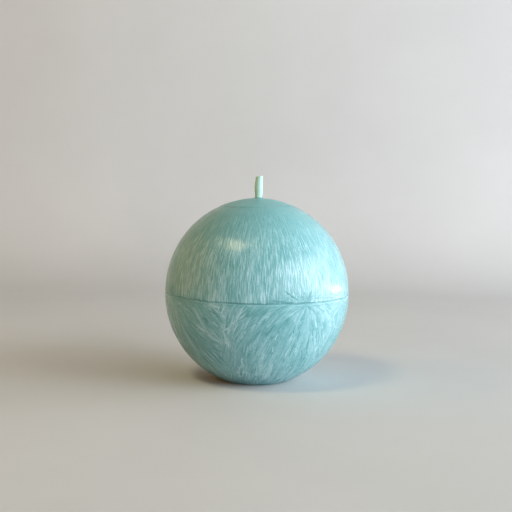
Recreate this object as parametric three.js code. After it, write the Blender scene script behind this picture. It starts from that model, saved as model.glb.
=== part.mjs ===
// Ball candle: two wax halves that meet at a seam, top-up wax round the wick, a cotton wick and its metal tab.
// Millimetres, +Z up along the wick. The origin is the middle of the flat that the candle stands on.
import * as THREE from 'three';

// ---- driving dimensions ----
const BALL_RADIUS = 40;          // an 80 mm ball, a common candle size
const BALL_HALF_HEIGHT = 41;     // each half is a little deeper than half a ball
const BASE_FLAT_RADIUS = 15;     // the flat that the candle stands on
const SEAM_CHAMFER = { inward: 0.3, along: 0.2 };   // each half's share of the open groove at the seam
const WELL = { radius: 16, depth: 10.5, floorRadius: 4, steps: 6 };   // the hollow that shrinking wax leaves
const GAP = 0.3;                 // between pieces that lie against each other

const WICK_RADIUS = 1.6;
const WICK_ABOVE_BALL = 9.4;     // the length that stands out of the top
const WICK_BOW = 0.25;           // how far the standing length strays from the axis halfway up
const WICK_ROOT = 4;             // how deep in the wax the wick is held quite straight
const WICK_SIDES = 12;
const WICK_STEPS = 36;

const TAB = { radius: 6.5, thickness: 0.35, inset: 0.5, neckRadius: 2.25, neckHeight: 3.5 };

const ROUND_SEGMENTS = 72;       // round the axis
const ARC_STEP = Math.PI / 36;   // along the ball's outline

// ---- sizes that follow ----
const SEAM_HEIGHT = BALL_HALF_HEIGHT * Math.sqrt(1 - (BASE_FLAT_RADIUS / BALL_RADIUS) ** 2);
const BALL_TOP = SEAM_HEIGHT + BALL_HALF_HEIGHT;
const BORE_RADIUS = WICK_RADIUS + GAP;
const WELL_RIM_HEIGHT = heightOnBall(WELL.radius);

// Height of the ball's upper surface at a given distance from the axis. The ball is widest at the seam.
function heightOnBall(radius) {
  return SEAM_HEIGHT + BALL_HALF_HEIGHT * Math.sqrt(1 - (radius / BALL_RADIUS) ** 2);
}

// Distance of the ball's surface from the axis at a given height.
function radiusOnBall(height) {
  return BALL_RADIUS * Math.sqrt(1 - ((height - SEAM_HEIGHT) / BALL_HALF_HEIGHT) ** 2);
}

// Points of the ball's outline from one height up to another, both ends included.
function ballOutline(fromHeight, toHeight) {
  const start = Math.asin((fromHeight - SEAM_HEIGHT) / BALL_HALF_HEIGHT);
  const end = Math.asin((toHeight - SEAM_HEIGHT) / BALL_HALF_HEIGHT);
  const steps = Math.ceil((end - start) / ARC_STEP);
  const points = [];
  for (let i = 0; i <= steps; i += 1) {
    const angle = start + ((end - start) * i) / steps;
    points.push([BALL_RADIUS * Math.cos(angle), SEAM_HEIGHT + BALL_HALF_HEIGHT * Math.sin(angle)]);
  }
  return points;
}

// A solid of revolution round +Z from a closed outline of [radius, height] points, listed from the lowest
// inner point outward and up.
function turned(outline) {
  const profile = [...outline, outline[0]].map(([radius, height]) => new THREE.Vector2(radius, height));
  const geometry = new THREE.LatheGeometry(profile, ROUND_SEGMENTS);
  geometry.rotateX(Math.PI / 2);
  return geometry;
}

// The lower half: the standing flat, the recess for the tab, the bore for the wick and a chamfered rim.
function lowerHalfGeometry() {
  const recessRadius = TAB.radius + GAP;
  const recessTop = TAB.inset + TAB.thickness + GAP;
  const neckHole = TAB.neckRadius + GAP;
  const neckTop = TAB.inset + TAB.neckHeight + GAP;
  const rimStart = SEAM_HEIGHT - SEAM_CHAMFER.along;
  return turned([
    [recessRadius, 0],
    ...ballOutline(0, rimStart),
    [radiusOnBall(SEAM_HEIGHT) - SEAM_CHAMFER.inward, SEAM_HEIGHT],
    [BORE_RADIUS, SEAM_HEIGHT],
    [BORE_RADIUS, neckTop],
    [neckHole, neckTop],
    [neckHole, recessTop],
    [recessRadius, recessTop],
  ]);
}

// The bowl-shaped side of the well, from its floor out to just short of its rim. An offset moves it inward and up.
function wellSide(offset) {
  const points = [];
  for (let i = 0; i < WELL.steps; i += 1) {
    const angle = (Math.PI / 2) * (i / WELL.steps);
    const radius = WELL.floorRadius + (WELL.radius - WELL.floorRadius) * Math.sin(angle);
    const height = WELL_RIM_HEIGHT - WELL.depth * Math.cos(angle);
    points.push([radius - offset, height + offset]);
  }
  return points;
}

// The upper half: a chamfered rim, the ball's outline up to the well, and the well's side down to the bore.
function upperHalfGeometry() {
  const rimStart = SEAM_HEIGHT + SEAM_CHAMFER.along;
  return turned([
    [BORE_RADIUS, SEAM_HEIGHT],
    [radiusOnBall(SEAM_HEIGHT) - SEAM_CHAMFER.inward, SEAM_HEIGHT],
    ...ballOutline(rimStart, WELL_RIM_HEIGHT),
    ...wellSide(0).reverse(),
    [BORE_RADIUS, WELL_RIM_HEIGHT - WELL.depth],
  ]);
}

// The top-up wax: it fills the well, and its top follows the ball.
function topUpGeometry() {
  const rimHeight = heightOnBall(WELL.radius - GAP);
  return turned([
    [BORE_RADIUS, WELL_RIM_HEIGHT - WELL.depth + GAP],
    ...wellSide(GAP),
    ...ballOutline(rimHeight, heightOnBall(BORE_RADIUS)),
  ]);
}

// A polygon with a given number of sides, as the wick's section.
function roundSection(radius, sides) {
  const shape = new THREE.Shape();
  for (let i = 0; i < sides; i += 1) {
    const angle = (2 * Math.PI * i) / sides;
    const method = i === 0 ? 'moveTo' : 'lineTo';
    shape[method](radius * Math.cos(angle), radius * Math.sin(angle));
  }
  shape.closePath();
  return shape;
}

// The wick: straight inside the ball, with a slight bow where it stands free.
function wickGeometry() {
  const path = new THREE.CatmullRomCurve3([
    new THREE.Vector3(0, 0, TAB.inset),
    new THREE.Vector3(0, 0, SEAM_HEIGHT),
    new THREE.Vector3(0, 0, BALL_TOP - WICK_ROOT),
    new THREE.Vector3(0, 0, BALL_TOP),
    new THREE.Vector3(-WICK_BOW, 0, BALL_TOP + WICK_ABOVE_BALL / 2),
    new THREE.Vector3(0, 0, BALL_TOP + WICK_ABOVE_BALL),
  ]);
  return new THREE.ExtrudeGeometry(roundSection(WICK_RADIUS, WICK_SIDES), {
    steps: WICK_STEPS,
    bevelEnabled: false,
    extrudePath: path,
  });
}

// The sustainer: a thin round plate with a neck that is crimped on the wick.
function sustainerGeometry() {
  const plateTop = TAB.inset + TAB.thickness;
  return turned([
    [BORE_RADIUS, TAB.inset],
    [TAB.radius, TAB.inset],
    [TAB.radius, plateTop],
    [TAB.neckRadius, plateTop],
    [TAB.neckRadius, TAB.inset + TAB.neckHeight],
    [BORE_RADIUS, TAB.inset + TAB.neckHeight],
  ]);
}

function waxMaterial(color) {
  return new THREE.MeshStandardMaterial({ color, roughness: 0.38, metalness: 0 });
}

const parts = {
  lower_wax_half: [lowerHalfGeometry(), waxMaterial(0x8cc4c6)],
  upper_wax_half: [upperHalfGeometry(), waxMaterial(0x92c8ca)],
  top_up_wax: [topUpGeometry(), waxMaterial(0x88bfc2)],
  wick: [wickGeometry(), new THREE.MeshStandardMaterial({ color: 0xeaf2ee, roughness: 0.6, metalness: 0 })],
  wick_sustainer: [
    sustainerGeometry(),
    new THREE.MeshStandardMaterial({ color: 0xb9bcbf, roughness: 0.35, metalness: 1 }),
  ],
};

const candle = new THREE.Group();
for (const [name, [geometry, material]] of Object.entries(parts)) {
  const mesh = new THREE.Mesh(geometry, material);
  mesh.name = name;
  candle.add(mesh);
}

export default candle;
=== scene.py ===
import math

import bpy
import numpy as np
from mathutils import Matrix, Vector


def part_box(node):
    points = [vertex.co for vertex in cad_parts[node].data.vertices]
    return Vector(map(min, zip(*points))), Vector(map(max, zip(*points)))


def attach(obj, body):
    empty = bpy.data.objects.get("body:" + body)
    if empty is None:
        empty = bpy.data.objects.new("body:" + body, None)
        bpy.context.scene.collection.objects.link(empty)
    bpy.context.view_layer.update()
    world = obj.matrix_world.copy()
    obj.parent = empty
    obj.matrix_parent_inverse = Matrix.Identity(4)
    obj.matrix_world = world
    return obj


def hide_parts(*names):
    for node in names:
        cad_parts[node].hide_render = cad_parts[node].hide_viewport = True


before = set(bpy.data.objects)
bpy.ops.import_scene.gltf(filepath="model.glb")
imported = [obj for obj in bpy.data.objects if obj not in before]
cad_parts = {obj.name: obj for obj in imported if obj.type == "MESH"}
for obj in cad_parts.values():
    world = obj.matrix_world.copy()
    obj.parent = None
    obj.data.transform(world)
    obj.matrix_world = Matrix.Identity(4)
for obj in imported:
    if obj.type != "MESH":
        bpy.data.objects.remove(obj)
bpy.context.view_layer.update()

# A ball candle of crystallised wax: two halves that meet at a seam, top-up wax round the wick, a braided
# wick and the tin tab at its foot. Lengths are in metres, or in millimetres times MM. A bearing goes round
# the wick: 0 is the front, at -Y, and it grows towards +X. A latitude is 0 at the ball's widest place.
MM = 0.001

# ---- sizes from the frame ----
LOWER_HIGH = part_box("lower_wax_half")[1]
UPPER_LOW, UPPER_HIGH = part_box("upper_wax_half")
TOP_UP_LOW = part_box("top_up_wax")[0]
WICK_LOW, WICK_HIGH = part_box("wick")
TAB_LOW, TAB_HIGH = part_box("wick_sustainer")

BALL_RADIUS = (UPPER_HIGH.x - UPPER_LOW.x) / 2
HALF_HEIGHT = 41 * MM            # each half is a little deeper than half a ball
SEAM_Z = LOWER_HIGH.z
FLAT_RADIUS = BALL_RADIUS * math.sqrt(1 - (SEAM_Z / HALF_HEIGHT) ** 2)
WELL_RADIUS = BALL_RADIUS * math.sqrt(1 - ((UPPER_HIGH.z - SEAM_Z) / HALF_HEIGHT) ** 2)
CLEARANCE = 0.3 * MM             # left round the tab and under the top-up wax
WELL_FLOOR_Z = TOP_UP_LOW.z - CLEARANCE
WELL_FLOOR_RADIUS = 4 * MM
BALL_TOP = SEAM_Z + HALF_HEIGHT
WICK_RADIUS = 1.6 * MM
BORE_RADIUS = 1.85 * MM
PLATE_THICKNESS = 0.35 * MM      # of the tab
RECESS_RADIUS = TAB_HIGH.x + CLEARANCE
RECESS_TOP = TAB_LOW.z + PLATE_THICKNESS + CLEARANCE
NECK_HOLE = 2.55 * MM
NECK_TOP = TAB_HIGH.z + CLEARANCE
FOOT_ROUND = 0.7 * MM            # the soft corner round the standing flat

# ---- the wax skins ----
COLUMNS = 1024                   # round the ball at its widest
TOP_UP_COLUMNS = 512             # round the top-up wax at its rim
ROW_STEP = 0.25 * MM             # along the ball's outline
SEAM_GAP = 0.012 * MM            # half of the gap between the halves' flat faces
GROOVE_DEPTH = 0.5 * MM
GROOVE_HALF_WIDTH = 0.24 * MM
SEAM_LIP = 0.05 * MM             # the wax stands up a little beside the groove
SEAM_STEP = 0.35 * MM            # the seam rises by this much near one bearing
SEAM_STEP_BEARING = -51          # in degrees
SEAM_STEP_SPREAD = 7             # in degrees
RIM_BEAD = 0.1 * MM              # height of the bead where the top-up wax meets the ball
RIM_BEAD_WIDTH = 0.5 * MM
LIP_ROWS = np.array([0, 0.05, 0.1, 0.16, 0.24, 0.34, 0.48, 0.68]) * MM   # finer rows beside the seam
SEAM_FACE_RINGS = ((38.9, 512), (37.0, 256), (33.0, 128), (24.0, 64))   # radius in mm and points
STEP_OVERLAP = 0.1 * MM          # how far a painted step of a crystal runs past its ends
TRACE_STEP = 0.7 * MM            # length of one step of a crystal

# ---- the wick and its tab ----
WICK_SIDES = 64
BRAID_COLUMNS = 4                # rows of V-shaped stitches round the wick
STITCH = 1.15 * MM               # length of one stitch
BRAID_DEPTH = 0.075 * MM
WICK_BOW = 0.27 * MM             # to the left, at half its free height
WICK_LEAN = 0.28 * MM            # to the right, above its foot
CUT_TILT = 0.12                  # slope of the wick's cut end
NECK_IN, NECK_OUT = 1.82 * MM, 2.22 * MM
TAB_RIB = ((4.05, 0.01), (4.4, 0.12), (4.75, 0.12), (5.1, 0.01))   # the raised ring: radius and height, mm
NECK_ROWS = (1.2, 1.9, 2.6)      # heights of the rings of points on the neck, in mm
CRIMP_Z, CRIMP_SPREAD, CRIMP_DEPTH = 1.95 * MM, 0.55 * MM, 0.1 * MM

# How open the seam is, from 0 to 1, at bearings in degrees round the ball.
SEAM_OPENNESS = [
    (-180, 0.7), (-150, 0.35), (-128, 0.8), (-104, 0.25), (-84, 0.75), (-60, 0.8), (-50, 0.45), (-44, 0.1),
    (-39, 0.8), (-30, 0.6), (-22, 0.9), (-16, 1.0), (-4, 1.0), (3, 0.6), (12, 0.8), (20, 0.7), (30, 0.9),
    (34, 0.6), (44, 0.6), (60, 0.4), (78, 0.6), (100, 0.2), (122, 0.75), (150, 0.45), (180, 0.7),
]

# Where crystals start on each half: bearing and latitude in degrees, how late they start and how soon they
# turn straight down (or up, on the upper half), both in millimetres.
LOWER_NUCLEI = [
    (-95, -2, 9, 60), (-64, 0, 7, 90), (30, -1, 0, 26), (60, -2, 7, 18), (85, -3, 3, 30),
    (112, -2, 4, 40), (139, -2, 0, 60), (171, -3, 3, 30), (-158, -2, 0, 90), (-124, -2, 3, 35),
]
UPPER_NUCLEI = [
    (30, 0, 0, 9), (-64, 0, 3, 6), (110, 0, 1, 9), (160, 0, 2, 7), (-170, 0, 1, 8), (-118, 0, 1, 9),
]

# Layers of crystals on the lower half, the undermost first: how many, their half widths and lengths in mm,
# how much their tones differ, and how far they stand up in mm.
LOWER_LAYERS = [
    (900, (0.9, 1.9), (9, 24), 0.11, 0.012),
    (2600, (0.25, 0.7), (5, 20), 0.115, 0.022),
    (3600, (0.12, 0.28), (3, 14), 0.17, 0.03),
]

# Bundles of crystals that stand out: bearing and latitude of both ends in degrees, width in mm, and tone.
LOWER_BUNDLES = [
    (-27, -3, -19, -12, 1.3, 0.28), (-24, -3, -18, -9, 0.6, 0.66), (6, -9, -7, -28, 2.4, 0.36),
    (13, -4, -2, -18, 1.6, 0.38), (27, -32, 22, -46, 1.6, 0.36), (40, -4, 45, -13, 2.2, 0.66),
    (33, -3, 37, -12, 1.4, 0.68), (20, -2, 10, -12, 1.3, 0.66), (-13, -5, -17, -19, 1.2, 0.62),
    (3, -3, -13, -12, 1.6, 0.64), (17, -6, 5, -22, 1.8, 0.64), (-50, -6, -33, -36, 2.2, 0.4),
    (-40, -4, -28, -22, 2.2, 0.6), (-56, -12, -44, -40, 2.4, 0.62), (22, -10, 15, -30, 2.0, 0.42),
    (30, -12, 27, -34, 2.2, 0.62), (-2, -24, -6, -44, 1.6, 0.4), (12, -38, 10, -56, 4.0, 0.66),
    (2, -36, 3, -52, 3.0, 0.64), (-20, -14, -18, -30, 1.0, 0.64), (-8, -20, -14, -30, 1.8, 0.42),
]
UPPER_BUNDLES = [
    (15, 8, 25, 1.2, 1.0, 0.26), (13.5, 6.5, 24, 0.6, 0.7, 0.74), (26, 1.5, 22, 9, 1.6, 0.68),
    (33.5, 7, 31, 1.2, 1.2, 0.3), (29, 1.2, 30, 7, 0.9, 0.66), (35, 1.2, 41, 5, 1.0, 0.66),
    (9, 2, 22, 0.6, 0.8, 0.36), (38, 3, 56, 1.5, 1.3, 0.7),
]

# Broad soft streaks, and dark bands of painted shade along the seam: bearing and latitude of both ends in
# degrees, half width in mm, and the change of tone.
LOWER_STREAKS_AND_SEAM_SHADE = [
    (4, -3, -4, -7, 1.7, -0.3), (18, -10, 6, -17, 1.8, -0.32), (-20, -5, -18, -22, 2.6, 0.12),
    (-36, -18, -15, -27, 2.2, 0.2), (-8, -28, -7, -31, 2.0, -0.14), (-34, -4, -31, -16, 1.5, -0.12),
    (29, -30, 24, -40, 2.6, 0.15), (7, -36, 8, -52, 3.6, 0.1), (25, -20, 24, -25, 2.0, -0.08),
    # (-62, -0.5, -30, -0.5, ...) and the two after it are painted shade along the seam.
    (38, -16, 37, -26, 2.0, -0.08), (-42, -28, -28, -38, 2.2, -0.1), (-62, -0.5, -30, -0.5, 1.3, -0.2),
    (-16, -0.5, -7, -1, 1.2, -0.15), (24, -0.5, 33, -1, 1.2, -0.12),
]
UPPER_STREAKS_AND_SEAM_SHADE = [
    # (-60, 0.5, -32, 0.5, ...) and (7, 1, 15, 2, ...) are painted shade along the seam.
    (-2, 4, 4, 4, 1.8, 0.12), (-26, 1, -25, 5, 1.6, 0.12), (-60, 0.5, -32, 0.5, 1.1, -0.14),
    (7, 1, 15, 2, 1.3, -0.18),
]


# ================================================================ mesh helpers

def new_mesh(name, points, faces, attributes=None):
    """A smooth-shaded object from points, arrays of faces, and float values on its points."""
    mesh = bpy.data.meshes.new(name)
    mesh.vertices.add(len(points))
    mesh.vertices.foreach_set("co", np.asarray(points, np.float32).ravel())
    corners = np.concatenate([f.ravel() for f in faces])
    sizes = np.concatenate([np.full(len(f), f.shape[1]) for f in faces])
    starts = np.concatenate([[0], np.cumsum(sizes)[:-1]])
    mesh.loops.add(len(corners))
    mesh.loops.foreach_set("vertex_index", corners.astype(np.int32))
    mesh.polygons.add(len(sizes))
    mesh.polygons.foreach_set("loop_start", starts.astype(np.int32))
    mesh.polygons.foreach_set("loop_total", sizes.astype(np.int32))
    mesh.polygons.foreach_set("use_smooth", np.ones(len(sizes), bool))
    mesh.update(calc_edges=True)
    for key, values in (attributes or {}).items():
        layer = mesh.attributes.new(key, "FLOAT", "POINT")
        layer.data.foreach_set("value", np.asarray(values, np.float32).ravel())
    piece = bpy.data.objects.new(name, mesh)
    bpy.context.scene.collection.objects.link(piece)
    return piece


def stitch_halving(fine_start, fine_count, coarse_start, flip):
    """Triangles between a ring and a ring with half as many points."""
    j = np.arange(fine_count // 2)
    k = (j + 1) % (fine_count // 2)
    a = fine_start + 2 * j
    b = a + 1
    c = fine_start + (2 * j + 2) % fine_count
    p = coarse_start + j
    q = coarse_start + k
    triangles = np.concatenate([np.stack(t, 1) for t in ((a, p, b), (b, p, q), (b, q, c))])
    return triangles[:, ::-1] if flip else triangles


def ring_faces(counts, closed=False):
    """Quads and triangles of a stack of rings. Neighbours have equal counts, or one has half the other's."""
    starts = np.concatenate([[0], np.cumsum(counts)])
    quads = []
    triangles = []
    pairs = [(i, i + 1) for i in range(len(counts) - 1)]
    if closed:
        pairs.append((len(counts) - 1, 0))
    for first, second in pairs:
        a, b = starts[first], starts[second]
        count = counts[first]
        if counts[second] == count:
            j = np.arange(count)
            k = (j + 1) % count
            quads.append(np.stack([a + j, b + j, b + k, a + k], 1))
        elif counts[second] * 2 == count:
            triangles.append(stitch_halving(a, count, b, flip=False))
        else:
            triangles.append(stitch_halving(b, counts[second], a, flip=True))
    return [np.concatenate(group) for group in (quads, triangles) if group]


def ring_points(radius, z, count):
    """Points of a level ring, from the front and towards +X. Radius and z are numbers or arrays."""
    bearings = 2 * np.pi * np.arange(count) / count
    radii = np.broadcast_to(radius, count)
    heights = np.broadcast_to(z, count)
    return np.stack([radii * np.sin(bearings), -radii * np.cos(bearings), heights], 1)


def smooth_step(x, low, high):
    """Rises from 0 at `low` to 1 at `high`, level at both ends."""
    t = np.clip((x - low) / (high - low), 0, 1)
    return t * t * (3 - 2 * t)


def wrap(angle):
    """An angle brought to between -pi and pi."""
    return (angle + np.pi) % (2 * np.pi) - np.pi


def waves(rng, bearing, latitude, size, count=24):
    """A smooth random field on the ball, about -1 to 1, whose hills are about `size` metres across."""
    x = np.cos(latitude) * np.sin(bearing)
    y = -np.cos(latitude) * np.cos(bearing)
    z = np.sin(latitude) * np.ones_like(bearing)
    total = np.zeros(np.broadcast(bearing, latitude).shape)
    for _ in range(count):
        way = rng.normal(size=3)
        way *= math.pi * BALL_RADIUS / size / np.linalg.norm(way) * rng.uniform(0.6, 1.4)
        total += np.sin(way[0] * x + way[1] * y + way[2] * z + rng.uniform(0, 2 * np.pi))
    return total / math.sqrt(count / 2) / 1.6


# ================================================================ crystals painted on a skin

class Skin:
    """A half's outer surface as a grid of rows and columns, with the values that crystals leave on it."""

    def __init__(self, latitudes):
        self.latitudes = latitudes
        self.bearings = 2 * np.pi * np.arange(COLUMNS) / COLUMNS
        shape = (len(latitudes), COLUMNS)
        self.tone = np.full(shape, 0.5)
        self.along = np.broadcast_to(-latitudes[:, None] * BALL_RADIUS, shape).copy()
        self.across = np.broadcast_to(self.bearings[None, :] * BALL_RADIUS, shape).copy()
        self.relief = np.zeros(shape)
        self.feather = np.zeros(shape)

    def grid(self):
        """The bearing and the latitude of every point."""
        return np.meshgrid(self.bearings, self.latitudes)

    def paint(self, bearings, latitudes, half_widths, tone, lift):
        """Lays one crystal along a path. It covers what is under it, is highest along its middle, and is
        painted a little lighter on one side as painted shade.
        """
        travelled = 0.0
        for i in range(len(bearings) - 1):
            east = wrap(bearings[i + 1] - bearings[i]) * BALL_RADIUS * math.cos(latitudes[i])
            north = (latitudes[i + 1] - latitudes[i]) * BALL_RADIUS
            length = math.hypot(east, north)
            if length < 1e-6:
                continue
            self.paint_step(bearings[i], latitudes[i], east / length, north / length, length, half_widths[i],
                            half_widths[i + 1], travelled, tone, lift)
            travelled += length

    def paint_step(self, bearing, latitude, east, north, length, width_a, width_b, travelled, tone, lift):
        """Paints one straight step of a crystal, from a point and in a direction."""
        reach = max(width_a, width_b) + length
        first = np.searchsorted(-self.latitudes, -(latitude + reach / BALL_RADIUS))
        last = np.searchsorted(-self.latitudes, -(latitude - reach / BALL_RADIUS))
        if last <= first:
            return
        rows = np.arange(first, last)
        spread = min(math.pi, reach / BALL_RADIUS / math.cos(latitude))
        middle = bearing / (2 * np.pi) * COLUMNS
        span = spread / (2 * np.pi) * COLUMNS
        columns = np.arange(math.floor(middle - span), math.ceil(middle + span) + 1)
        x = (columns / COLUMNS * 2 * np.pi - bearing) * BALL_RADIUS * math.cos(latitude)
        y = (self.latitudes[rows] - latitude) * BALL_RADIUS
        forward = x[None, :] * east + y[:, None] * north
        sideways = y[:, None] * east - x[None, :] * north
        width = width_a + (width_b - width_a) * np.clip(forward / length, 0, 1)
        inside = (forward > -STEP_OVERLAP) & (forward <= length + STEP_OVERLAP) & (np.abs(sideways) < width)
        if not inside.any():
            return
        row, column = np.nonzero(inside)
        place = (rows[row], columns[column] % COLUMNS)
        rim = sideways[row, column] / width[row, column]
        # Painted shade: one side of each crystal is painted a little lighter than the other.
        self.tone[place] = tone + 0.1 * rim
        self.along[place] = travelled + forward[row, column]
        self.across[place] = sideways[row, column]
        self.relief[place] = lift * (1 - 0.75 * rim * rim)
        self.feather[place] = 1.0


def growth_angle(bearing, latitude, nucleus, upward):
    """The way a nucleus's crystals grow at a point, as an angle from straight down, and its distance."""
    start_bearing, start_latitude, _, turn = nucleus
    apart = wrap(bearing - math.radians(start_bearing))
    sine, cosine = math.sin(math.radians(start_latitude)), math.cos(math.radians(start_latitude))
    closeness = np.sin(latitude) * sine + np.cos(latitude) * cosine * np.cos(apart)
    distance = np.arccos(np.clip(closeness, -1, 1)) * BALL_RADIUS
    east = np.sin(apart) * cosine
    down = np.cos(latitude) * sine - np.sin(latitude) * cosine * np.cos(apart)
    angle = np.arctan2(east, down)
    settle = np.exp(-distance / (turn * MM))
    if upward:
        sign = np.where(angle < 0, -1, 1)
        return sign * (np.pi - (np.pi - np.abs(angle)) * settle), distance
    return angle * settle, distance


def reach_cost(bearing, latitude, nuclei):
    """How late each nucleus's crystals would get to each point, in metres of growth."""
    costs = []
    for nucleus in nuclei:
        _, distance = growth_angle(bearing, latitude, nucleus, False)
        costs.append(distance + nucleus[2] * MM)
    return np.array(costs)


def trace(rng, nuclei, owner, bearing, latitude, lean, length, upward, slack):
    """Follows crystals, each with its own nucleus, to their full length or to another nucleus's ground."""
    steps = int(np.max(length) / TRACE_STEP) + 2
    count = len(bearing)
    alive = np.ones(count, bool)
    paths = [(bearing, latitude, alive)]
    bow = rng.normal(0, 0.35, count)
    for i in range(steps):
        angle = np.zeros(count)
        for n, nucleus in enumerate(nuclei):
            mine = owner == n
            if mine.any():
                angle[mine] = growth_angle(bearing[mine], latitude[mine], nucleus, upward)[0]
        angle = angle + lean + bow * (i * TRACE_STEP / (12 * MM))
        bearing = bearing + TRACE_STEP * np.sin(angle) / (BALL_RADIUS * np.cos(latitude))
        latitude = latitude - TRACE_STEP * np.cos(angle) / BALL_RADIUS
        costs = reach_cost(bearing, latitude, nuclei)
        own = costs[owner, np.arange(count)]
        alive = alive & (own - costs.min(0) < slack) & ((i + 1) * TRACE_STEP < length)
        paths.append((bearing, latitude, alive))
    return paths


def draw(skin, paths, wide, tones, lift, order):
    """Paints traced crystals in an order: narrow at the start, wide in the middle and pointed at the end."""
    bearings, latitudes, alive = (np.array(values) for values in zip(*paths))
    for n in order:
        count = int(alive[:, n].sum())
        if count < 3:
            continue
        t = np.linspace(0, 1, count)
        shape = np.sin(np.pi * t ** 0.8) ** 0.6
        widths = wide[n] * (0.25 + 0.75 * shape) * np.minimum(1, (1 - t) * 5 + 0.06)
        skin.paint(bearings[:count, n], latitudes[:count, n], widths, tones[n], lift)


def feather_lower(skin):
    """Big feather crystals that grow down from their nuclei at the seam."""
    rng = np.random.default_rng(11)
    lowest = float(skin.latitudes[-1])
    for count, wide_range, length_range, contrast, lift in LOWER_LAYERS:
        latitude = np.arcsin(rng.uniform(math.sin(lowest), 0, count))
        bearing = rng.uniform(-np.pi, np.pi, count)
        warp = waves(rng, bearing, latitude, 14 * MM) * 2.2 * MM / BALL_RADIUS
        owner = reach_cost(bearing + warp, latitude + warp, LOWER_NUCLEI).argmin(0)
        lean = rng.normal(0, 0.1, count)
        length = rng.uniform(*length_range, count) * MM
        slack = rng.uniform(0.5, 4, count) * MM
        paths = trace(rng, LOWER_NUCLEI, owner, bearing, latitude, lean, length, False, slack)
        patches = waves(rng, bearing, latitude, 16 * MM)
        tones = 0.5 + contrast * rng.normal(size=count) + 0.08 * patches
        wide = rng.uniform(*wide_range, count) * MM
        draw(skin, paths, wide, tones, lift * MM, rng.permutation(count))
        rays(skin, rng, LOWER_NUCLEI, wide_range, contrast, lift, False, (3, 13), 20)
    bundles(skin, rng, LOWER_BUNDLES, 0.025)
    # The streaks include dark bands of painted shade along the seam.
    streaks(skin, LOWER_STREAKS_AND_SEAM_SHADE)


def streaks(skin, ends):
    """Adds the broad soft streaks to the tone; some of them are dark bands of painted shade along the seam.
    """
    bearing, latitude = skin.grid()
    for from_bearing, from_latitude, to_bearing, to_latitude, wide, change in ends:
        narrow = math.cos(math.radians((from_latitude + to_latitude) / 2))
        x = wrap(bearing - math.radians(from_bearing)) * BALL_RADIUS * narrow
        y = (latitude - math.radians(from_latitude)) * BALL_RADIUS
        end_x = math.radians(to_bearing - from_bearing) * BALL_RADIUS * narrow
        end_y = math.radians(to_latitude - from_latitude) * BALL_RADIUS
        t = np.clip((x * end_x + y * end_y) / (end_x ** 2 + end_y ** 2), 0, 1)
        distance = np.hypot(x - t * end_x, y - t * end_y)
        skin.tone += change * np.exp(-(distance / (wide * MM)) ** 2)


def bundles(skin, rng, ends, lift):
    """Paints the bundles that stand out, each as thin strands of uneven length and tone."""
    for from_bearing, from_latitude, to_bearing, to_latitude, wide, tone in ends:
        strands = 5 + int(4 * wide)
        for _ in range(strands):
            start, end = sorted(rng.uniform(0, 1, 2))
            t = np.linspace(start * 0.5, 0.5 + end * 0.5, 14)
            drift = rng.uniform(-0.5, 0.5) * wide * MM / BALL_RADIUS * (0.3 + t)
            bearing = np.radians(from_bearing + (to_bearing - from_bearing) * t) + drift
            latitude = np.radians(from_latitude + (to_latitude - from_latitude) * t) + 0.3 * drift
            along = (t - t[0]) / (t[-1] - t[0])
            widths = rng.uniform(0.14, 0.32) * MM * (0.25 + 0.75 * np.sin(np.pi * along ** 0.8) ** 0.7)
            skin.paint(bearing, latitude, widths, tone + rng.normal(0, 0.07), lift * MM)


def rays(skin, rng, nuclei, wide_range, contrast, lift, upward, length_range, per_nucleus):
    """Bursts of straight rays at the nuclei."""
    owner = np.repeat(np.arange(len(nuclei)), per_nucleus)
    count = len(owner)
    spread = np.radians(rng.uniform(-80, 80, count))
    angle = np.pi - spread if upward else spread
    start = rng.uniform(0.2, 1.2, count) * MM
    bearing = np.radians([nuclei[n][0] for n in owner]) + start * np.sin(angle) / BALL_RADIUS
    latitude = np.radians([nuclei[n][1] for n in owner]) - start * np.cos(angle) / BALL_RADIUS
    length = rng.uniform(*length_range, count) * MM
    paths = trace(rng, nuclei, owner, bearing, latitude, 0.0, length, upward, 2 * MM)
    tones = 0.52 + contrast * 1.1 * rng.normal(size=count)
    wide = rng.uniform(wide_range[0] * 0.6, wide_range[1] * 0.6, count) * MM
    draw(skin, paths, wide, tones, lift * MM, rng.permutation(count))


def feather_upper(skin):
    """Short feathers that grow up from the seam's nuclei; needles cover the rest."""
    rng = np.random.default_rng(23)
    rays(skin, rng, UPPER_NUCLEI, (0.3, 0.7), 0.1, 0.02, True, (1.5, 5), 30)
    bundles(skin, rng, UPPER_BUNDLES, 0.05)
    rays(skin, rng, UPPER_NUCLEI, (0.12, 0.26), 0.13, 0.03, True, (1, 4), 20)
    # The streaks include dark bands of painted shade along the seam.
    streaks(skin, UPPER_STREAKS_AND_SEAM_SHADE)


# ================================================================ the wax pieces

def seam_openness(bearings):
    """How open the seam is at each bearing, with a little random flicker."""
    degrees = np.degrees(wrap(bearings))
    places, values = zip(*SEAM_OPENNESS)
    rng = np.random.default_rng(5)
    flicker = waves(rng, bearings, np.zeros_like(bearings), 3.5 * MM) * 0.16
    return np.clip(np.interp(degrees, places, values) + flicker, 0.08, 1.1)


def seam_wander(bearings):
    """How far the seam strays up and down from level."""
    rng = np.random.default_rng(6)
    from_step = (np.degrees(wrap(bearings)) - SEAM_STEP_BEARING) / SEAM_STEP_SPREAD
    step_up = SEAM_STEP * np.exp(-from_step ** 2)
    return waves(rng, bearings, np.zeros_like(bearings), 8 * MM) * 0.1 * MM + step_up


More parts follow.
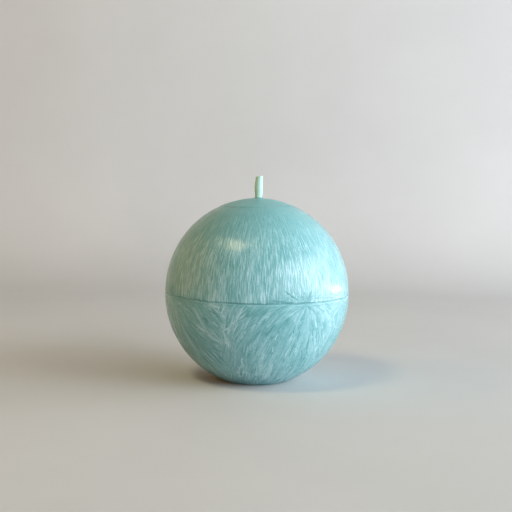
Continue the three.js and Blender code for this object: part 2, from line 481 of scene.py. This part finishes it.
def skin_latitudes(top, bottom, seam_at_top):
    """Rows from the top down, with finer rows beside the seam."""
    length = (top - bottom) * BALL_RADIUS
    count = int((length - LIP_ROWS[-1]) / ROW_STEP)
    regular = np.linspace(LIP_ROWS[-1], length, count + 1)[1:]
    distances = np.concatenate([LIP_ROWS, regular])
    if seam_at_top:
        return top - distances / BALL_RADIUS
    return (bottom + distances / BALL_RADIUS)[::-1]


def ring_count(latitude):
    """Fewer columns where the ball narrows."""
    if math.cos(latitude) > 0.5:
        return COLUMNS
    return COLUMNS // 2


def skin_surface(skin, rng_seed):
    """The skin's radius and upward shift at each of its points: crystals, slight dents and a seam groove."""
    rng = np.random.default_rng(rng_seed)
    bearing, latitude = skin.grid()
    from_seam = np.abs(latitude) * BALL_RADIUS
    open_here = seam_openness(skin.bearings)[None, :]
    half_width = GROOVE_HALF_WIDTH * (0.45 + 0.55 * open_here)
    groove = GROOVE_DEPTH * open_here * (1 - smooth_step(from_seam, 0.25 * half_width, 1.9 * half_width))
    broad_dents = waves(rng, bearing, latitude, 26 * MM) * 0.05 * MM
    small_dents = waves(rng, bearing, latitude, 7 * MM) * 0.012 * MM
    off_seam = smooth_step(from_seam, 0.2 * MM, 1.0 * MM)
    lip = SEAM_LIP * open_here * np.exp(-((from_seam - 0.75 * MM) / (0.35 * MM)) ** 2)
    from_rim = np.cos(latitude) * BALL_RADIUS - WELL_RADIUS
    at_rim = np.exp(-(from_rim / RIM_BEAD_WIDTH) ** 2) * (latitude > 0)
    texture = (broad_dents + small_dents + skin.relief) * off_seam * (1 - at_rim)
    radius = BALL_RADIUS + texture + lip + RIM_BEAD * at_rim - groove
    shift = seam_wander(skin.bearings)[None, :] * (1 - smooth_step(from_seam, 0, 3 * MM))
    return radius, shift


def skin_rings(skin, radius, shift):
    """Ring points, ring counts and per-point values of a skin."""
    points = []
    counts = []
    values = {key: [] for key in ("tone", "along", "across", "feather")}
    for i, latitude in enumerate(skin.latitudes):
        count = ring_count(latitude)
        every = COLUMNS // count
        ring_radius = radius[i, ::every] * math.cos(latitude)
        height = radius[i, ::every] * HALF_HEIGHT / BALL_RADIUS * math.sin(latitude)
        z = SEAM_Z + height + shift[i, ::every]
        points.append(ring_points(ring_radius, z, count))
        counts.append(count)
        for key in values:
            values[key].append(getattr(skin, key)[i, ::every])
    return points, counts, values


def toward(here, there, distance):
    """The point of a profile that lies a short distance from one of its points towards another."""
    gap = math.hypot(there[0] - here[0], there[1] - here[1])
    return tuple(h + (t - h) * distance / gap for h, t in zip(here[:2], there[:2]))


def with_corners(profile, near=0.06 * MM):
    """Adds a point close to each side of every corner, so that smooth shading keeps the corner crisp."""
    result = []
    for i, place in enumerate(profile):
        if i > 0:
            result.append((*toward(place, profile[i - 1], near), place[2]))
        result.append(place)
        if i < len(profile) - 1:
            result.append((*toward(place, profile[i + 1], near), place[2]))
    return result


def rounded(start, corner, end, steps):
    """Points of a rounded corner between two places, without its first one."""
    start, corner, end = np.array(start), np.array(corner), np.array(end)
    points = []
    for i in range(1, steps + 1):
        t = i / steps
        points.append(tuple((1 - t) ** 2 * start + 2 * t * (1 - t) * corner + t * t * end))
    return points


def well_side(inset):
    """The bowl-shaped side of the well as profile points, from its floor up to just short of its rim."""
    depth = UPPER_HIGH.z - WELL_FLOOR_Z
    counts = (64, 64, 128, 256, 256, 512)
    profile = []
    for i, count in enumerate(counts):
        angle = i / len(counts) * math.pi / 2
        radius = WELL_FLOOR_RADIUS + (WELL_RADIUS - WELL_FLOOR_RADIUS) * math.sin(angle)
        profile.append((radius - inset, UPPER_HIGH.z - depth * math.cos(angle) + inset, count))
    return profile


def stand_for(piece, node):
    """Puts a piece in the place of a CAD node."""
    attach(piece, "root")
    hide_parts(node)
    return piece


def wax_piece(name, skin, radius, shift, profile, node):
    """A half of the ball: its skin from the top down, then its unseen inner faces back to the start."""
    points, counts, values = skin_rings(skin, radius, shift)
    for ring_radius, z, count in profile:
        points.append(ring_points(ring_radius, z, count))
        counts.append(count)
    inner = sum(count for _, _, count in profile)
    for key in values:
        values[key].append(np.full(inner, 0.5 if key == "tone" else 0.0))
    values = {key: np.concatenate(v) for key, v in values.items()}
    piece = new_mesh(name, np.concatenate(points), ring_faces(counts, closed=True), values)
    return stand_for(piece, node)


def make_lower_half():
    """The lower half, with its standing flat, the tab's recess and the wick's hole."""
    end_latitude = FOOT_ROUND / BALL_RADIUS - math.asin(SEAM_Z / HALF_HEIGHT)
    skin = Skin(skin_latitudes(0, end_latitude, True))
    feather_lower(skin)
    radius, shift = skin_surface(skin, 31)
    last = (BALL_RADIUS * math.cos(end_latitude), SEAM_Z + HALF_HEIGHT * math.sin(end_latitude))
    count = ring_count(end_latitude)
    seam_z = SEAM_Z - SEAM_GAP
    profile = [(r, z, count) for r, z in rounded(last, (FLAT_RADIUS, 0), (FLAT_RADIUS - FOOT_ROUND, 0), 5)]
    profile.append(((FLAT_RADIUS + RECESS_RADIUS) / 2, 0, 256))
    profile += with_corners([
        (RECESS_RADIUS, 0, 128),
        (RECESS_RADIUS, RECESS_TOP, 128),
        (NECK_HOLE, RECESS_TOP, 64),
        (NECK_HOLE, NECK_TOP, 64),
        (BORE_RADIUS, NECK_TOP, 64),
        (BORE_RADIUS, seam_z, 64),
    ])
    profile += [(r * MM, seam_z, n) for r, n in reversed(SEAM_FACE_RINGS)]
    return wax_piece("lower_wax", skin, radius, shift, profile, "lower_wax_half")


def make_upper_half():
    """The upper half, with the well at its top and the wick's hole."""
    rim_latitude = math.acos(WELL_RADIUS / BALL_RADIUS)
    skin = Skin(skin_latitudes(rim_latitude, 0, False))
    feather_upper(skin)
    radius, shift = skin_surface(skin, 32)
    seam_z = SEAM_Z + SEAM_GAP
    profile = [(r * MM, seam_z, n) for r, n in SEAM_FACE_RINGS]
    profile += [(BORE_RADIUS, seam_z, 64), (BORE_RADIUS, WELL_FLOOR_Z, 64)]
    profile += well_side(0)
    return wax_piece("upper_wax", skin, radius, shift, profile, "upper_wax_half")


def top_up_count(radius):
    """Fewer points in the rings near the wick."""
    if radius > 7 * MM:
        return TOP_UP_COLUMNS
    if radius > 3.2 * MM:
        return TOP_UP_COLUMNS // 2
    return TOP_UP_COLUMNS // 4


def make_top_up():
    """The smooth wax inside the ring: its top follows the ball, dips a little and climbs the wick."""
    rng = np.random.default_rng(42)
    rim = WELL_RADIUS - 0.02 * MM
    inner = BORE_RADIUS - 0.22 * MM
    near_wick = np.linspace(inner, 3.1 * MM, 12)
    middle = np.linspace(3.3 * MM, rim - 0.8 * MM, 44)
    edge_rows = rim - np.array([0.55, 0.36, 0.22, 0.12, 0.05, 0.0]) * MM
    radii = np.concatenate([near_wick, middle, edge_rows])
    bearing, radius = np.meshgrid(2 * np.pi * np.arange(TOP_UP_COLUMNS) / TOP_UP_COLUMNS, radii)
    field = waves(rng, bearing, np.arccos(radius / BALL_RADIUS), 5 * MM) * 0.035 * MM
    from_rim = rim - radii
    bead = RIM_BEAD * np.exp(-(from_rim / RIM_BEAD_WIDTH) ** 2)
    dip = -0.1 * MM * smooth_step(from_rim, 0.8 * MM, 3 * MM) * (1 - smooth_step(from_rim, 6 * MM, 11 * MM))
    climb = 0.45 * MM * np.exp(-(radii - inner) / (0.4 * MM))
    level = SEAM_Z + HALF_HEIGHT * np.sqrt(1 - (radii / BALL_RADIUS) ** 2) + bead + dip + climb
    profile = well_side(0.2 * MM)[::-1] + [(inner, TOP_UP_LOW.z, 64)]
    rings = [ring_points(r, z, n) for r, z, n in profile]
    counts = [n for _, _, n in profile]
    for i, ring_radius in enumerate(radii):
        count = top_up_count(ring_radius)
        height = level[i] + field[i, ::TOP_UP_COLUMNS // count]
        rings.append(ring_points(ring_radius, height, count))
        counts.append(count)
    piece = new_mesh("top_up", np.concatenate(rings), ring_faces(counts, closed=True))
    return stand_for(piece, "top_up_wax")


# ================================================================ the wick and its tab

def free_share(z):
    """0 up to the ball's top, and 1 at the top of the wick."""
    return np.clip((z - BALL_TOP) / (WICK_HIGH.z - BALL_TOP), 0, 1)


def wick_centre(z):
    """How far right of the axis the wick is at a height: it leans right at its foot and bows left above."""
    free = free_share(z)
    bow = -WICK_BOW * np.sin(np.pi * free) * smooth_step(free, 0, 0.3)
    return bow + WICK_LEAN * smooth_step(free, 0, 0.35)


def wick_radius(z):
    """The wick is thickest halfway up its free part and a little thinner inside the ball."""
    free = free_share(z)
    swell = 0.22 * np.exp(-((free - 0.48) / 0.26) ** 2) - 0.06 * smooth_step(free, 0.7, 1.0)
    return WICK_RADIUS + (swell - 0.08 + 0.07 * smooth_step(free, 0.05, 0.25)) * MM


def make_wick():
    """A braided cotton wick, stiff with wax, cut nearly square at the top."""
    rng = np.random.default_rng(51)
    top = WICK_HIGH.z - 0.15 * MM
    inside = np.linspace(WICK_LOW.z, BALL_TOP - 1.5 * MM, 60)
    outside = np.linspace(BALL_TOP - 1.4 * MM, top, 130)
    heights = np.concatenate([inside, outside])
    turn = 2 * np.pi * np.arange(WICK_SIDES) / WICK_SIDES
    rings = []
    chevron = np.abs(((turn / (2 * np.pi) * BRAID_COLUMNS) % 1) - 0.5) * 2
    valley = smooth_step(chevron, 0.0, 0.22) * (1 - 0.6 * smooth_step(chevron, 0.82, 1.0))
    for z in heights:
        stitch = np.abs(np.sin(np.pi * (z / STITCH + 0.8 * chevron)))
        radius = wick_radius(z) + BRAID_DEPTH * (stitch ** 0.7 * (0.45 + 0.55 * valley) - 0.5)
        level = z + CUT_TILT * radius * np.sin(turn) * smooth_step(z, BALL_TOP + 5 * MM, top)
        ring = ring_points(radius, level, WICK_SIDES)
        ring[:, 0] += wick_centre(z)
        rings.append(ring)
    last = rings[-1]
    middle_top = last.mean(0)
    middle_foot = rings[0].mean(0)
    for share in (0.93, 0.8, 0.62, 0.42, 0.2, 0.06):
        ring = middle_top + (last - middle_top) * share
        frayed = rng.normal(0, 0.035 * MM, WICK_SIDES) * (share > 0.1)
        ring[:, 2] += 0.1 * MM * (1 - share ** 6) + frayed
        rings.append(ring)
    foot = [middle_foot + (rings[0] - middle_foot) * share for share in (0.06, 0.5, 0.9)]
    rings = (foot + rings)[::-1]
    counts = [WICK_SIDES] * len(rings)
    points = np.concatenate(rings)
    faces = ring_faces(counts)
    first = np.arange(WICK_SIDES)[None, :]
    final = first[:, ::-1] + len(points) - WICK_SIDES
    piece = new_mesh("braided_wick", points, [*faces, first, final])
    return stand_for(piece, "wick")


def make_tab():
    """The stamped tin tab: a plate with a raised ring and a rolled edge, and a neck crimped on the wick."""
    rim, top = TAB_HIGH.x, TAB_HIGH.z
    low, plate = TAB_LOW.z, TAB_LOW.z + PLATE_THICKNESS
    edge = [(rim - 0.05 * MM, plate), (rim, plate - 0.08 * MM), (rim, low + 0.1 * MM)]
    edge += [(rim - 0.08 * MM, low), (rim - 0.9 * MM, low)]
    under_rib = [(radius * MM, low + lift * MM) for radius, lift in reversed(TAB_RIB)]
    flare = [(2.6 * MM, low), (2.15 * MM, low + 0.04 * MM), (1.92 * MM, low + 0.2 * MM)]
    flare.append((NECK_IN, low + 0.5 * MM))
    inside = [(NECK_IN, low + height * MM) for height in NECK_ROWS]
    inner_lip = [(NECK_IN, top - 0.04 * MM), (NECK_IN + 0.06 * MM, top)]
    outer_lip = [(NECK_OUT - 0.06 * MM, top), (NECK_OUT, top - 0.06 * MM)]
    outside = [(NECK_OUT, low + height * MM) for height in reversed(NECK_ROWS)]
    root = [(NECK_OUT + 0.05 * MM, plate + 0.25 * MM), (NECK_OUT + 0.3 * MM, plate + 0.04 * MM)]
    root.append((3 * MM, plate))
    over_rib = [(radius * MM, plate + lift * MM) for radius, lift in TAB_RIB]
    neck = [*flare, *inside, *inner_lip, *outer_lip, *outside, *root]
    profile = [*edge, *under_rib, *neck, *over_rib]
    count = 128
    turn = 2 * np.pi * np.arange(count) / count
    rings = []
    for radius, z in profile:
        crimp = 0.0
        if radius < NECK_OUT + 0.18 * MM:
            crimp = CRIMP_DEPTH * math.exp(-((z - low - CRIMP_Z) / CRIMP_SPREAD) ** 2)
        dent = crimp * np.abs(np.cos(1.5 * turn)) ** 6
        rings.append(ring_points(radius - dent, z, count))
    piece = new_mesh("tin_tab", np.concatenate(rings), ring_faces([count] * len(rings), closed=True))
    return stand_for(piece, "wick_sustainer")


# ================================================================ materials

class Shader:
    """A material's node tree, built in short steps."""

    def __init__(self, name):
        self.material = bpy.data.materials.new(name)
        self.material.use_nodes = True
        self.tree = self.material.node_tree
        self.tree.nodes.clear()

    def add(self, kind, inputs=None, **settings):
        """A new node, with each input linked to a socket or set to a value."""
        node = self.tree.nodes.new(kind)
        for key, value in settings.items():
            setattr(node, key, value)
        for key, value in (inputs or {}).items():
            if isinstance(value, bpy.types.NodeSocket):
                self.tree.links.new(value, node.inputs[key])
            else:
                node.inputs[key].default_value = value
        return node

    def math(self, operation, a, b=0.0, c=0.0):
        """One step of arithmetic on numbers or sockets."""
        return self.add("ShaderNodeMath", {0: a, 1: b, 2: c}, operation=operation).outputs[0]

    def value(self, name):
        """A value painted on the mesh's points."""
        return self.add("ShaderNodeAttribute", attribute_name=name).outputs["Fac"]

    def vector(self, x, y, z):
        return self.add("ShaderNodeCombineXYZ", {0: x, 1: y, 2: z}).outputs[0]

    def noise(self, vector, scale, detail=2.0, roughness=0.5, distortion=0.0):
        inputs = {"Vector": vector, "Scale": scale, "Detail": detail, "Roughness": roughness,
                  "Distortion": distortion}
        return self.add("ShaderNodeTexNoise", inputs).outputs[0]

    def remap(self, value, low, high, to_low=0.0, to_high=1.0, smooth=True):
        """A value stretched from one range to another and held inside it."""
        kind = "SMOOTHSTEP" if smooth else "LINEAR"
        inputs = {0: value, 1: low, 2: high, 3: to_low, 4: to_high}
        return self.add("ShaderNodeMapRange", inputs, interpolation_type=kind).outputs[0]

    def ramp(self, value, stops):
        """A colour for a value, blended between stops."""
        node = self.add("ShaderNodeValToRGB", {0: value})
        elements = node.color_ramp.elements
        while len(elements) < len(stops):
            elements.new(0.5)
        for element, (place, color) in zip(elements, stops):
            element.position = place
            element.color = (*color, 1)
        return node.outputs[0]

    def bump(self, height, distance, strength=1.0):
        inputs = {"Height": height, "Distance": distance, "Strength": strength}
        return self.add("ShaderNodeBump", inputs).outputs[0]

    def finish(self, inputs):
        """Gives the material its surface."""
        surface = self.add("ShaderNodeBsdfPrincipled", inputs)
        self.add("ShaderNodeOutputMaterial", {"Surface": surface.outputs[0]})
        return self.material


def srgb(*channels):
    """Linear colour from 0 to 255 sRGB values."""
    scaled = [c / 255 for c in channels]
    return tuple(c / 12.92 if c <= 0.04045 else ((c + 0.055) / 1.055) ** 2.4 for c in scaled)


WAX_STOPS = [
    (0.0, srgb(84, 146, 149)),
    (0.35, srgb(114, 170, 173)),
    (0.62, srgb(142, 191, 196)),
    (1.0, srgb(190, 222, 225)),
]
WAX_LIGHT = {"Subsurface Weight": 0.35, "Subsurface Scale": 2.2 * MM, "Subsurface Radius": (0.7, 1.0, 1.0),
             "IOR": 1.44, "Specular IOR Level": 0.5}


# Layers of needles on the upper half: tilt, width in mm, length over width, and seed.
NEEDLE_LAYERS = ((-0.06, 0.34, 13.0, 0.3), (0.02, 0.28, 16.0, 1.7), (0.08, 0.36, 11.0, 2.9))


def ball_place(shader):
    """Sockets for a point's angle round the wick from +X, its latitude, and its place in millimetres."""
    place = shader.add("ShaderNodeTexCoord").outputs["Object"]
    centre = (0, 0, SEAM_Z)
    centred = shader.add("ShaderNodeVectorMath", {0: place, 1: centre}, operation="SUBTRACT").outputs[0]
    in_mm = shader.add("ShaderNodeVectorMath", {0: centred, "Scale": 1 / MM}, operation="SCALE").outputs[0]
    xyz = shader.add("ShaderNodeSeparateXYZ", {0: in_mm}).outputs
    bearing = shader.math("ARCTAN2", xyz[1], xyz[0])
    x_squared = shader.math("MULTIPLY", xyz[0], xyz[0])
    y_squared = shader.math("MULTIPLY", xyz[1], xyz[1])
    across = shader.math("SQRT", shader.math("ADD", x_squared, y_squared))
    latitude = shader.math("ARCTAN2", xyz[2], across)
    return bearing, latitude, in_mm


def needles(shader, bearing, latitude, wander, tilt, width, stretch, seed):
    """Thin upright crystals, leaning by a tilt: 1 along their middles and 0 between them."""
    radius = BALL_RADIUS / MM
    lean = shader.math("MULTIPLY_ADD", latitude, tilt, seed)
    turned = shader.math("ADD", shader.math("ADD", bearing, lean), wander)
    x = shader.math("MULTIPLY", shader.math("COSINE", turned), radius / width)
    y = shader.math("MULTIPLY", shader.math("SINE", turned), radius / width)
    z = shader.math("MULTIPLY_ADD", latitude, radius / width / stretch, seed * 7)
    inputs = {"Vector": shader.vector(x, y, z), "Scale": 1.0, "Randomness": 1.0}
    cells = shader.add("ShaderNodeTexVoronoi", inputs, feature="F1", distance="EUCLIDEAN")
    body = shader.remap(cells.outputs["Distance"], 0.62, 0.15)
    share = shader.add("ShaderNodeSeparateColor", {0: cells.outputs["Color"]}).outputs[0]
    return shader.math("MULTIPLY", body, shader.remap(share, 0.15, 1.0, smooth=False))


def upright_lines(shader, bearing, latitude, wander, width, stretch):
    """Fine lines that run up the ball and waver a little, from 0 to 1."""
    radius = BALL_RADIUS / MM
    turned = shader.math("ADD", bearing, wander)
    x = shader.math("MULTIPLY", shader.math("COSINE", turned), radius / width)
    y = shader.math("MULTIPLY", shader.math("SINE", turned), radius / width)
    z = shader.math("MULTIPLY", latitude, radius / width / stretch)
    lines = shader.noise(shader.vector(x, y, z), 1.0, 1.0, 0.5, 0.4)
    return shader.remap(lines, 0.4, 0.64)


def wax_material(name, with_needles):
    """Crystallised wax, coloured by the tones painted on the skin, and by needles on the upper half."""
    shader = Shader(name)
    bearing, latitude, place = ball_place(shader)
    tone = shader.value("tone")
    feather = shader.value("feather")
    along = shader.math("MULTIPLY", shader.value("along"), 0.3 / MM)
    across = shader.math("MULTIPLY", shader.value("across"), 3.0 / MM)
    strands = shader.noise(shader.vector(across, along, shader.math("MULTIPLY", tone, 60.0)), 1.0, 3.0, 0.6)
    strands = shader.math("SUBTRACT", strands, 0.5)
    mottle = shader.math("SUBTRACT", shader.noise(place, 0.16, 3.0, 0.55), 0.5)
    speckle = shader.math("SUBTRACT", shader.noise(place, 1.4, 2.0, 0.6), 0.5)
    mottle_share = 0.08 if with_needles else 0.22
    total = shader.math("ADD", tone, shader.math("MULTIPLY", mottle, mottle_share))
    total = shader.math("ADD", total, shader.math("MULTIPLY", speckle, 0.3))
    relief = shader.math("MULTIPLY", strands, shader.math("MULTIPLY", feather, 1.2))
    total = shader.math("ADD", total, shader.math("MULTIPLY", relief, 0.5))
    if with_needles:
        wander = shader.math("MULTIPLY", shader.math("SUBTRACT", shader.noise(place, 0.1, 1.0), 0.5), 0.03)
        layers = [needles(shader, bearing, latitude, wander, *layer) for layer in NEEDLE_LAYERS]
        dashes = shader.math("MAXIMUM", shader.math("MAXIMUM", layers[0], layers[1]), layers[2])
        lines = upright_lines(shader, bearing, latitude, wander, 0.4, 14.0)
        lines = shader.math("MULTIPLY", lines, 0.66)
        lit = shader.math("ADD", shader.math("MULTIPLY", dashes, 0.44), lines)
        cover = shader.remap(latitude, math.radians(74), math.radians(28), 0.2, 1.0)
        cover = shader.math("MULTIPLY", cover, shader.math("SUBTRACT", 1.0, feather))
        lit = shader.math("SUBTRACT", shader.math("MULTIPLY", lit, cover), 0.4)
        total = shader.math("ADD", total, shader.math("MULTIPLY", lit, 0.6))
        relief = shader.math("ADD", relief, shader.math("MULTIPLY", lit, 0.9))
    relief = shader.math("ADD", relief, shader.math("MULTIPLY", speckle, 0.8))
    colour = shader.ramp(total, WAX_STOPS)
    rough = shader.remap(total, 0.2, 0.9, 0.12, 0.2, smooth=False)
    normal = shader.bump(relief, 0.05 * MM, 1.0)
    return shader.finish({"Base Color": colour, "Roughness": rough, "Normal": normal, **WAX_LIGHT})


def top_up_material():
    """The same wax without crystals, duller and faintly cloudy."""
    shader = Shader("wax_top_up")
    _, _, place = ball_place(shader)
    mottle = shader.math("MULTIPLY", shader.noise(place, 0.5, 4.0, 0.6), 0.3)
    speckle = shader.noise(place, 3.0, 2.0, 0.5)
    total = shader.math("ADD", shader.math("ADD", mottle, shader.math("MULTIPLY", speckle, 0.12)), 0.12)
    colour = shader.ramp(total, WAX_STOPS)
    rough = shader.remap(speckle, 0.3, 0.7, 0.36, 0.48, smooth=False)
    normal = shader.bump(speckle, 0.03 * MM, 0.5)
    return shader.finish({"Base Color": colour, "Roughness": rough, "Normal": normal, **WAX_LIGHT})


def wick_material():
    """Cotton yarn under a thin coat of wax."""
    shader = Shader("waxed_cotton")
    place = shader.add("ShaderNodeTexCoord").outputs["Object"]
    fibres = shader.noise(place, 2600.0, 3.0, 0.7)
    coat = shader.noise(place, 700.0, 2.0, 0.5)
    mix = shader.math("ADD", shader.math("MULTIPLY", fibres, 0.6), shader.math("MULTIPLY", coat, 0.4))
    stops = [(0.25, srgb(158, 206, 190)), (0.6, srgb(182, 220, 206)), (0.9, srgb(206, 232, 222))]
    tint = shader.ramp(mix, stops)
    rough = shader.remap(coat, 0.3, 0.7, 0.4, 0.62)
    normal = shader.bump(fibres, 0.05 * MM, 0.5)
    return shader.finish({"Base Color": tint, "Roughness": rough, "Normal": normal, "Subsurface Weight": 0.3,
                          "Subsurface Scale": 0.8 * MM, "Sheen Weight": 0.15})


def tin_material():
    """Rolled tin plate: fine scratches one way and a little dulling."""
    shader = Shader("tin_plate")
    place = shader.add("ShaderNodeTexCoord").outputs["Object"]
    rolled = shader.add("ShaderNodeMapping", {"Vector": place, "Scale": (9000, 500, 500)}).outputs[0]
    scratches = shader.noise(rolled, 1.0, 2.0, 0.6)
    dull = shader.noise(place, 400.0, 3.0, 0.6)
    tint = shader.ramp(dull, [(0.3, srgb(176, 178, 180)), (0.7, srgb(214, 215, 216))])
    scuffed = shader.math("MULTIPLY", scratches, 0.1)
    rough = shader.math("ADD", shader.remap(dull, 0.3, 0.7, 0.22, 0.4), scuffed)
    normal = shader.bump(scratches, 0.01 * MM, 0.4)
    return shader.finish({"Base Color": tint, "Roughness": rough, "Metallic": 1.0, "Normal": normal})


def studio_material():
    """Plain pale stone-grey, with the faintest cloudiness."""
    shader = Shader("studio_floor")
    place = shader.add("ShaderNodeTexCoord").outputs["Object"]
    clouds = shader.noise(place, 6.0, 4.0, 0.6)
    tint = shader.ramp(clouds, [(0.3, srgb(187, 190, 189)), (0.7, srgb(194, 197, 196))])
    return shader.finish({"Base Color": tint, "Roughness": 0.75})


# ================================================================ studio

def make_studio():
    """A pale floor that sweeps up into a backdrop behind the candle."""
    wall_y, turn, height, side = 0.42, 0.12, 1.6, 2.2
    outline = [(-side, 0.0), (wall_y - turn, 0.0)]
    outline += rounded((wall_y - turn, 0.0), (wall_y, 0.0), (wall_y, turn), 16)
    outline.append((wall_y, height))
    points = [(x, y, z) for y, z in outline for x in (-side, side)]
    quads = np.array([(2 * i, 2 * i + 1, 2 * i + 3, 2 * i + 2) for i in range(len(outline) - 1)])
    floor = new_mesh("studio_sweep", points, [quads])
    floor.data.materials.append(studio_material())


def area_light(name, across, up, distance, size, power, color):
    """A rectangular light that faces the ball. Angles are in degrees, and 0 across is from the right."""
    across, up = math.radians(across), math.radians(up)
    way = Vector((math.cos(up) * math.cos(across), math.cos(up) * math.sin(across), math.sin(up)))
    data = bpy.data.lights.new(name, "AREA")
    data.shape = "RECTANGLE"
    data.size, data.size_y = size
    data.energy = power
    data.color = color
    lamp = bpy.data.objects.new(name, data)
    lamp.location = Vector((0, 0, SEAM_Z)) + way * distance
    lamp.visible_camera = False
    lamp.rotation_mode = "QUATERNION"
    lamp.rotation_quaternion = (-way).to_track_quat("-Z", "Y")
    bpy.context.scene.collection.objects.link(lamp)


def make_lights():
    """Cool daylight from the right, a little warm light from the left and one small lamp above."""
    daylight = (0.865, 0.915, 1.0)
    area_light("window", -8, 9, 1.2, (1.3, 1.3), 27.3, daylight)
    area_light("window_front", -38, 9, 1.2, (1.3, 1.2), 21.3, daylight)
    area_light("low_window", 21, -0.6, 0.6, (0.15, 0.055), 0.48, (1.0, 0.7, 0.66))
    area_light("warm_wall", 182, 12, 1.0, (1.3, 1.1), 4.3, (1.0, 0.36, 0.0))
    area_light("ceiling_lamp", 224, 57, 0.8, (0.16, 0.12), 1.7, (1.0, 0.84, 0.5))
    world = bpy.data.worlds.new("dim_room")
    world.use_nodes = True
    background = world.node_tree.nodes["Background"]
    background.inputs["Color"].default_value = (1.0, 0.98, 0.7, 1)
    background.inputs["Strength"].default_value = 0.045
    bpy.context.scene.world = world
    bpy.context.scene.view_settings.view_transform = "Standard"


def make_camera():
    """Looks slightly down on the candle, from the front, with the ball low in the frame."""
    distance = 400 * MM
    elevation = math.radians(7.0)
    aim_above_ball = math.radians(2.25)
    aim_left = math.radians(0.095)
    roll = math.radians(1.0)
    data = bpy.data.cameras.new("camera")
    data.sensor_width = 36.0
    data.lens = 64.19
    data.clip_start = 0.01
    camera = bpy.data.objects.new("camera", data)
    place = Vector((0, -distance * math.cos(elevation), SEAM_Z + distance * math.sin(elevation)))
    pitch = Matrix.Rotation(math.pi / 2 - elevation + aim_above_ball, 4, "X")
    turn = Matrix.Rotation(aim_left, 4, "Z")
    camera.matrix_world = Matrix.Translation(place) @ turn @ pitch @ Matrix.Rotation(roll, 4, "Z")
    bpy.context.scene.collection.objects.link(camera)
    bpy.context.scene.camera = camera


# ================================================================ build

make_camera()
make_studio()
make_lights()
make_lower_half().data.materials.append(wax_material("wax_lower", with_needles=False))
make_upper_half().data.materials.append(wax_material("wax_upper", with_needles=True))
make_top_up().data.materials.append(top_up_material())
make_wick().data.materials.append(wick_material())
make_tab().data.materials.append(tin_material())
